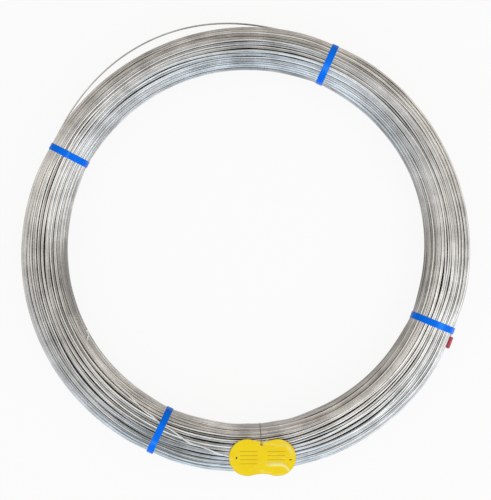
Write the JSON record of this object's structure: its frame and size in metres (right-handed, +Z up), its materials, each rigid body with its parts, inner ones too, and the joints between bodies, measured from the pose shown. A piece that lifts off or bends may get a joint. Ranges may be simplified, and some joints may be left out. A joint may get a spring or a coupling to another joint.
{
  "type": "coil of oval wire",
  "caption": "Flat-lying ring coil of galvanised oval fence wire, its turns held together by plastic straps, with a tied-on label tag and a capped wire end.",
  "frame": {"origin": "on the axis of the coil's bore at floor level, under the straps it rests on", "axes": "+Z up along the coil's axis; seen from above +X is to the right and +Y away, with the tag at the near side"},
  "size_m": [0.664, 0.6713, 0.068],
  "materials": {
    "galvanised_wire": "hot-dip galvanised, satin",
    "strap_blue": "embossed polypropylene strap, satin",
    "tag_yellow": "smooth plastic film",
    "tie_wire": "thin annealed wire",
    "cap_red": "soft gloss vinyl"
  },
  "bodies": {
    "root": {"wire_coil": "galvanised_wire", "strap_upper_right": "strap_blue", "strap_upper_left": "strap_blue", "strap_lower_left": "strap_blue", "strap_lower_right": "strap_blue", "tag": "tag_yellow", "tag_tie": "tie_wire", "end_cap": "cap_red"}
  },
  "joints": []
}
